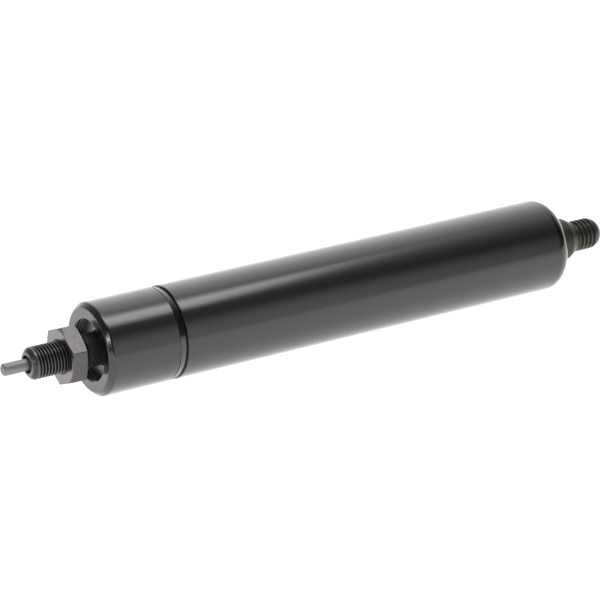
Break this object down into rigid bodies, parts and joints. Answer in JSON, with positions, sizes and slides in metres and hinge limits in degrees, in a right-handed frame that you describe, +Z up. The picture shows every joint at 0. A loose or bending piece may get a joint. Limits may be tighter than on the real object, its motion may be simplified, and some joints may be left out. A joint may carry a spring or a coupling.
{
  "type": "gas strut",
  "caption": "Gas strut that locks at any length: black cylinder with end sleeve, hollow threaded rod with release pin and lock nut, and a threaded stud at the closed end.",
  "frame": {"origin": "on the axis, where the thread of the stud on the closed end of the cylinder begins", "axes": "+X along the strut from the rod end towards the stud on the closed end, +Z up"},
  "size_m": [0.2084, 0.028, 0.028],
  "materials": {
    "cylinder_paint": "gloss black enamel",
    "plug_black": "gloss black enamel",
    "stud_black": "phosphated and oiled, olive black",
    "rod_black": "nitrided and blackened, fine ground",
    "nut_steel": "turned, pale zinc plating",
    "pin_steel": "ground",
    "guide_metal": "die cast, face turned",
    "bearing_bronze": "bored",
    "spring_steel": "blued",
    "turned_steel": "turned",
    "light_alloy": "turned",
    "white_plastic": "machined",
    "seal_rubber": "moulded"
  },
  "bodies": {
    "cylinder": {"pressure_tube": "cylinder_paint", "end_sleeve": "cylinder_paint", "rod_guide": "guide_metal", "guide_seal_ring": "seal_rubber", "guide_liner": "bearing_bronze", "seal_back_ring": "white_plastic", "seal_support_washer": "turned_steel", "sleeve_seal_ring": "seal_rubber", "rod_seal": "seal_rubber", "guide_snap_ring": "spring_steel", "base_plug": "plug_black", "base_seal_ring": "seal_rubber", "base_wire_ring": "spring_steel", "threaded_stud": "stud_black"},
    "slider": {"piston_ring": "white_plastic", "piston_ring_spring": "seal_rubber"},
    "rod": {"piston_rod": "rod_black", "stop_sleeve": "turned_steel", "piston": "light_alloy", "piston_nut": "turned_steel", "valve_seat_ring": "seal_rubber"},
    "release": {"release_pin": "pin_steel", "valve_tappet": "turned_steel", "tappet_seal_ring": "seal_rubber"},
    "separator": {"separator_piston": "light_alloy", "separator_oil_ring": "seal_rubber", "separator_gas_ring": "seal_rubber"},
    "nut": {"lock_nut": "nut_steel"}
  },
  "joints": [
    {"name": "rod_slide", "type": "slide", "parent": "cylinder", "child": "slider", "axis": [-1, 0, 0], "range_m": [0, 0.055]},
    {"name": "rod_turn", "type": "hinge", "parent": "slider", "child": "rod", "pos_m": [0, 0, 0], "axis": [1, 0, 0], "continuous": true},
    {"name": "release_press", "type": "slide", "parent": "rod", "child": "release", "axis": [1, 0, 0], "range_m": [0, 0.0025], "stiffness_N_per_m": 4000, "springref_m": -0.01},
    {"name": "separator_slide", "type": "slide", "parent": "cylinder", "child": "separator", "axis": [-1, 0, 0], "range_m": [0, 0.0088]},
    {"name": "nut_turn", "type": "hinge", "parent": "rod", "child": "nut", "pos_m": [-0.1777, 0, 0], "axis": [1, 0, 0], "range_deg": [-180, 180]}
  ],
  "couplings": [
    {"joint": "separator_slide", "follows": "rod_slide", "ratio": 0.16}
  ]
}
